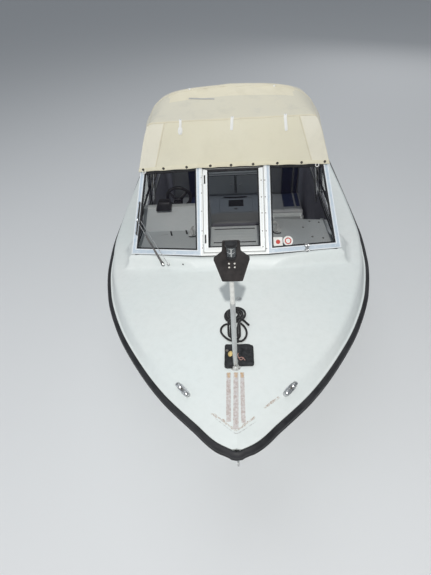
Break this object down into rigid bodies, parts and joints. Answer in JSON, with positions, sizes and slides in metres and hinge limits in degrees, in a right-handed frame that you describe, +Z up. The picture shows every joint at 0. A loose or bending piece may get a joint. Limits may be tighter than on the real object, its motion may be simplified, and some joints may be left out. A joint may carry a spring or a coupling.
{
  "type": "small cabin speedboat with canvas hood and outboard motor",
  "caption": "White moulded cabin boat with a black rub rail, raked aluminium windscreen with an opening middle pane, cream canvas hood and a tilting outboard motor.",
  "frame": {"origin": "on the waterline, on the centreline, halfway between the rail's tip and the transom", "axes": "+Z up, bow towards -Y, port side at +X"},
  "size_m": [2.2832, 6.038, 2.6468],
  "materials": {
    "gelcoat_white": "white gelcoat, slightly chalked",
    "sole_grey": "grey non-slip moulding",
    "liner_grey": "light grey moulded liner",
    "rail_black": "black extruded rubber",
    "rubber_black": "black rubber",
    "plastic_black": "black moulded plastic",
    "screen_aluminium": "pale anodised and painted aluminium profile",
    "tinted_glass": "grey tinted acrylic",
    "hood_canvas": "cream canvas, weathered",
    "stainless": "stainless steel",
    "wiper_steel": "grey painted steel",
    "seat_vinyl": "light grey vinyl with dark blue stripes",
    "motor_dark": "dark grey painted aluminium casting",
    "cowl_black": "black glossy cowl",
    "engine_iron": "plain engine block",
    "prop_aluminium": "painted aluminium",
    "rope_black": "black braided line"
  },
  "bodies": {
    "boat": {"hull": "gelcoat_white", "cockpit_sole": "sole_grey", "deck": "gelcoat_white", "rub_rail": "rail_black", "cuddy_bulkhead": "liner_grey", "cuddy_door_hinges": "stainless", "dashboard_port": "liner_grey", "dashboard_helm": "liner_grey", "instrument_box": "plastic_black", "companion_step": "liner_grey", "steering_column": "plastic_black", "throttle_control": "plastic_black", "windscreen_frame": "screen_aluminium", "windscreen_glass_port": "tinted_glass", "windscreen_glass_starboard": "tinted_glass", "side_glass": "tinted_glass", "centre_screen_hinges": "plastic_black", "canopy": "hood_canvas", "canopy_hoops": "stainless", "helm_seat_base": "liner_grey", "helm_seat_cushion": "seat_vinyl", "helm_seat_back": "seat_vinyl", "passenger_seat_base": "liner_grey", "passenger_seat_cushion": "seat_vinyl", "passenger_seat_back": "seat_vinyl", "aft_bench": "liner_grey", "bench_door_hinges": "stainless", "bench_cushion": "seat_vinyl", "bench_back": "seat_vinyl", "mast_foot": "stainless", "mast_tube": "stainless", "light_board": "plastic_black", "mast_head": "stainless", "nav_light": "plastic_black", "mooring_pad": "rubber_black", "bow_chocks": "stainless", "side_cleats": "stainless", "bow_eye": "stainless", "stern_eye_port": "stainless", "stern_eye_starboard": "stainless", "wiper": "wiper_steel", "clamp_bracket": "motor_dark", "rope_coil": "rope_black"},
    "cuddy_door": {"cuddy_door": "liner_grey"},
    "centre_screen": {"centre_screen_frame": "screen_aluminium", "centre_screen_glass": "tinted_glass"},
    "sole_hatch": {"sole_hatch": "sole_grey"},
    "bench_door_port": {"bench_door_port": "liner_grey"},
    "bench_door_starboard": {"bench_door_starboard": "liner_grey"},
    "steering_wheel": {"steering_wheel": "plastic_black"},
    "motor_tilt": {"swivel_bracket": "motor_dark"},
    "motor_steer": {"motor_leg": "motor_dark", "motor_cowl": "cowl_black", "engine_block": "engine_iron"},
    "propeller": {"propeller": "prop_aluminium"}
  },
  "joints": [
    {"name": "cuddy_door_swing", "type": "hinge", "parent": "boat", "child": "cuddy_door", "pos_m": [-0.236, -0.671, 0.5], "axis": [0, 0, 1], "range_deg": [0, 95]},
    {"name": "centre_screen_swing", "type": "hinge", "parent": "boat", "child": "centre_screen", "pos_m": [-0.231, -1.33516, 1.06856], "axis": [0, -0.7293, -0.6842], "range_deg": [0, 105]},
    {"name": "sole_hatch_lift", "type": "hinge", "parent": "boat", "child": "sole_hatch", "pos_m": [0, 0.85, 0.099], "axis": [1, 0, 0], "range_deg": [0, 92]},
    {"name": "bench_door_port_swing", "type": "hinge", "parent": "boat", "child": "bench_door_port", "pos_m": [0.428, 1.296, 0.2], "axis": [0, 0, 1], "range_deg": [0, 90]},
    {"name": "bench_door_starboard_swing", "type": "hinge", "parent": "boat", "child": "bench_door_starboard", "pos_m": [-0.428, 1.296, 0.2], "axis": [0, 0, -1], "range_deg": [0, 90]},
    {"name": "helm_steer", "type": "hinge", "parent": "boat", "child": "steering_wheel", "pos_m": [-0.494, -0.5, 1.097], "axis": [0, 0.9848, 0.1736], "range_deg": [-540, 540]},
    {"name": "motor_tilt", "type": "hinge", "parent": "boat", "child": "motor_tilt", "pos_m": [0, 2.796, 0.3], "axis": [1, 0, 0], "range_deg": [0, 62]},
    {"name": "motor_steer", "type": "hinge", "parent": "motor_tilt", "child": "motor_steer", "pos_m": [0, 2.872, 0.12], "axis": [0, 0, 1], "range_deg": [-30, 30]},
    {"name": "propeller_spin", "type": "hinge", "parent": "motor_steer", "child": "propeller", "pos_m": [0, 3.155, -0.455], "axis": [0, 1, 0], "continuous": true}
  ],
  "couplings": [
    {"joint": "helm_steer", "follows": "motor_steer", "ratio": 18}
  ]
}
